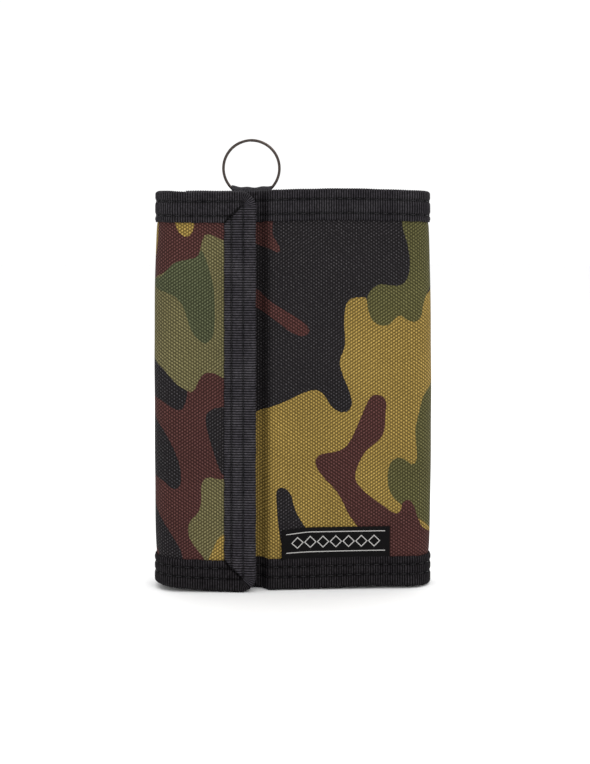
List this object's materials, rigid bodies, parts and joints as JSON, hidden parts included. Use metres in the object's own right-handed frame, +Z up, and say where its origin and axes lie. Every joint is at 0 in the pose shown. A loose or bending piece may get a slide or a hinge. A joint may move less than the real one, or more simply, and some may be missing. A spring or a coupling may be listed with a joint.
{
  "type": "trifold fabric wallet",
  "caption": "Upright trifold camouflage cloth wallet with black tape edges, a wrap-round closing tab, a woven label, and a split ring on a ribbon loop at its top edge.",
  "frame": {"origin": "middle of the lower face of the closed wallet's box, on the surface it stands on", "axes": "+X along the wallet's width, to the right seen from the front; the front faces -Y; +Z up along its height"},
  "size_m": [0.089, 0.021, 0.1439],
  "materials": {
    "printed_cloth": "coarse plain-weave polyester printed with a four-colour camouflage: tan, green, maroon brown and black",
    "lining_cloth": "fine black plain-weave nylon",
    "edge_tape": "black ribbed binding tape, folded over the edge and sewn with two rows",
    "ribbon": "black ribbed ribbon",
    "hook_tape": "black hook tape",
    "loop_tape": "black napped loop tape",
    "label_satin": "black woven satin with a plain pale line pattern",
    "zip_coil": "black nylon coil",
    "dark_nickel": "polished dark nickel plating"
  },
  "bodies": {
    "back": {"shell_back": "printed_cloth", "lining_back": "lining_cloth", "binding_top_back": "edge_tape", "binding_bottom_back": "edge_tape", "lining_hem_back": "edge_tape", "card_pocket_rear": "lining_cloth", "card_pocket_middle": "lining_cloth", "card_pocket_front": "lining_cloth", "card_pocket_hem_rear": "edge_tape", "card_pocket_hem_middle": "edge_tape", "card_pocket_hem_front": "edge_tape"},
    "spine_left": {"shell_spine_left": "printed_cloth", "lining_spine_left": "lining_cloth", "binding_top_spine_left": "edge_tape", "binding_bottom_spine_left": "edge_tape", "lining_hem_spine_left": "edge_tape"},
    "flap": {"shell_flap": "printed_cloth", "lining_flap": "lining_cloth", "binding_top_flap": "edge_tape", "binding_bottom_flap": "edge_tape", "binding_end_flap": "edge_tape", "hook_strip": "hook_tape"},
    "spine_right": {"shell_spine_right": "printed_cloth", "lining_spine_right": "lining_cloth", "binding_top_spine_right": "edge_tape", "binding_bottom_spine_right": "edge_tape", "lining_hem_spine_right": "edge_tape"},
    "front": {"shell_front": "printed_cloth", "lining_front": "lining_cloth", "binding_top_front": "edge_tape", "binding_bottom_front": "edge_tape", "binding_end_front": "edge_tape", "lining_hem_front": "edge_tape", "loop_strip": "loop_tape", "woven_label": "label_satin", "key_loop": "ribbon", "coin_pocket_lower": "lining_cloth", "coin_pocket_upper": "lining_cloth", "zip_tape_upper": "edge_tape", "zip_tape_lower": "edge_tape", "zip_coil_upper": "zip_coil", "zip_coil_lower": "zip_coil", "zip_stop_open": "dark_nickel", "zip_stop_closed": "dark_nickel"},
    "ring": {"split_ring": "dark_nickel"},
    "slider": {"zip_slider": "dark_nickel"},
    "pull": {"zip_pull": "dark_nickel"}
  },
  "joints": [
    {"name": "left_spine_fold", "type": "hinge", "parent": "back", "child": "spine_left", "pos_m": [-0.04198, 0.00798, 0.0635], "axis": [0, 0, -1], "range_deg": [0, 90]},
    {"name": "tab_fold", "type": "hinge", "parent": "spine_left", "child": "flap", "pos_m": [-0.04198, -0.00798, 0.0635], "axis": [0, 0, -1], "range_deg": [0, 90]},
    {"name": "right_spine_fold", "type": "hinge", "parent": "back", "child": "spine_right", "pos_m": [0.04198, 0.00798, 0.0635], "axis": [0, 0, 1], "range_deg": [0, 90]},
    {"name": "front_fold", "type": "hinge", "parent": "spine_right", "child": "front", "pos_m": [0.04198, -0.00498, 0.0635], "axis": [0, 0, 1], "range_deg": [0, 90]},
    {"name": "ring_tilt", "type": "hinge", "parent": "front", "child": "ring", "pos_m": [-0.0136, -0.0002, 0.1269], "axis": [1, 0, 0], "range_deg": [-50, 50]},
    {"name": "zip_slide", "type": "slide", "parent": "front", "child": "slider", "axis": [-1, 0, 0], "range_m": [0, 0.0504]},
    {"name": "pull_tilt", "type": "hinge", "parent": "slider", "child": "pull", "pos_m": [0.0267, 0.00055, 0.102], "axis": [0, 0, -1], "range_deg": [0, 45]}
  ]
}
